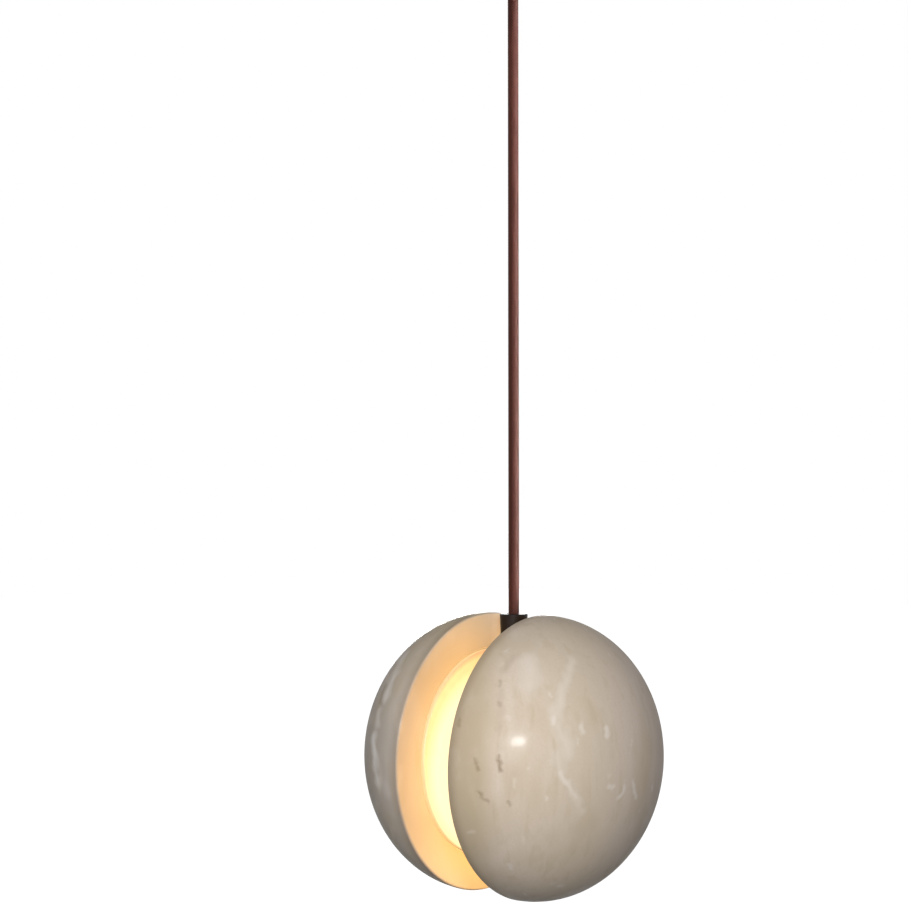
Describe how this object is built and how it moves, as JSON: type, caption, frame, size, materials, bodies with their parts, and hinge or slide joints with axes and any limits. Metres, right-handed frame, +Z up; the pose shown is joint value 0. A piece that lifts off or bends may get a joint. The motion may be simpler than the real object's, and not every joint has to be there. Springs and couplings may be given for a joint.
{
  "type": "pendant lamp",
  "caption": "Pendant lamp of two hollow stone domes whose facing opal discs glow into the gap between them, hung on a round cord from a ceiling canopy with a ball joint.",
  "frame": {"origin": "middle of the ceiling bracket's top face, in the plane of the ceiling", "axes": "+Z up, X parallel to the axis through both domes, with the right dome at +X"},
  "size_m": [0.189, 0.18, 0.6379],
  "materials": {
    "stone": "honed and satin polished pale limestone",
    "opal": "opal, lit from behind",
    "cord": "fine braided textile, red brown",
    "black_metal": "satin black",
    "steel": "zinc plated",
    "brass": "turned",
    "aluminium": "spun",
    "board": "white solder mask",
    "chip": "phosphor on white package",
    "nylon": "natural",
    "white_plastic": "moulded",
    "rubber": "soft",
    "lead": "wire insulation"
  },
  "bodies": {
    "ceiling": {"ceiling_bracket": "steel", "earth_screw": "brass", "canopy_cup": "black_metal", "canopy_screws": "black_metal", "ball_socket": "black_metal", "socket_ring_nut": "black_metal", "led_driver": "white_plastic", "driver_pad": "rubber", "terminal_block": "white_plastic", "lead_connector": "white_plastic", "driver_input_lead": "lead", "driver_output_lead": "lead"},
    "liner": {"seat_liner": "nylon"},
    "cord": {"swivel_ball": "brass", "cord_stop": "brass", "cord_stop_screw": "steel", "pendant_cord": "cord", "cord_ferrule": "brass"},
    "head": {"hanger": "black_metal", "swivel_washer": "nylon", "stem": "black_metal", "stem_lead": "lead", "hub": "black_metal", "hub_grub_screw": "steel", "axle": "steel", "board_screws": "steel", "stone_dome_left": "stone", "dome_insert_left": "brass", "gasket_left": "rubber", "led_tray_left": "aluminium", "led_board_left": "board", "led_chips_left": "chip", "diffuser_left": "opal", "led_lead_left": "lead", "stone_dome_right": "stone", "dome_insert_right": "brass", "gasket_right": "rubber", "led_tray_right": "aluminium", "led_board_right": "board", "led_chips_right": "chip", "diffuser_right": "opal", "led_lead_right": "lead"}
  },
  "joints": [
    {"name": "swing_side", "type": "hinge", "parent": "ceiling", "child": "liner", "pos_m": [0, 0, -0.02396], "axis": [1, 0, 0], "range_deg": [-15, 15]},
    {"name": "swing_across", "type": "hinge", "parent": "liner", "child": "cord", "pos_m": [0, 0, -0.02396], "axis": [0, 1, 0], "range_deg": [-15, 15]},
    {"name": "head_turn", "type": "hinge", "parent": "cord", "child": "head", "pos_m": [0, 0, -0.45796], "axis": [0, 0, 1], "range_deg": [-170, 170]}
  ]
}
